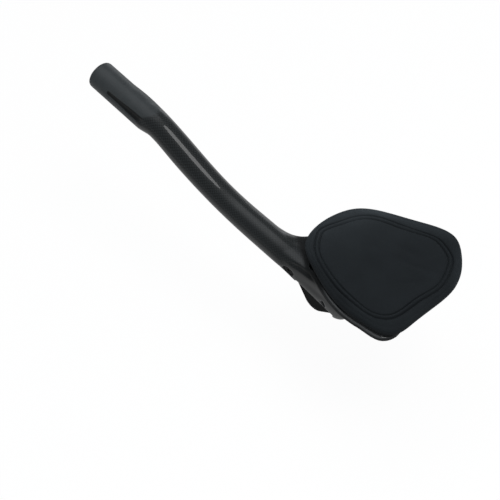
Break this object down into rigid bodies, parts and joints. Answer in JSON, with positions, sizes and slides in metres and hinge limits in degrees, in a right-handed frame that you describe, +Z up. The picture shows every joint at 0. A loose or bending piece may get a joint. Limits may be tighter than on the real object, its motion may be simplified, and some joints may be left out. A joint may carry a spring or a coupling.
{
  "type": "bicycle handlebar extension",
  "caption": "Right-hand aero bar extension: moulded carbon bar rising to a hooded grip, with a broad arm tray, padded arm rest and a mounting lug under its keel.",
  "frame": {"origin": "centre of the cross bore in the mounting lug under the keel", "axes": "+X forwards to the hand end, +Y inboard (to the rider's left), +Z up"},
  "size_m": [0.3739, 0.1248, 0.1066],
  "materials": {
    "carbon": "woven carbon under a clear gloss coat, satin over the grip",
    "grommet": "matt black moulded rubber",
    "pad_cloth": "matt brushed cloth over foam with an embossed seam",
    "hook_tape": "woven black hook tape",
    "lug": "black anodised",
    "screw": "black oxide",
    "washer": "plain zinc"
  },
  "bodies": {
    "root": {"extension_bar": "carbon", "port_grommet": "grommet", "arm_pad": "pad_cloth", "hook_patches": "hook_tape", "mount_lug": "lug", "lug_screws": "screw", "lug_washers": "washer"}
  },
  "joints": []
}
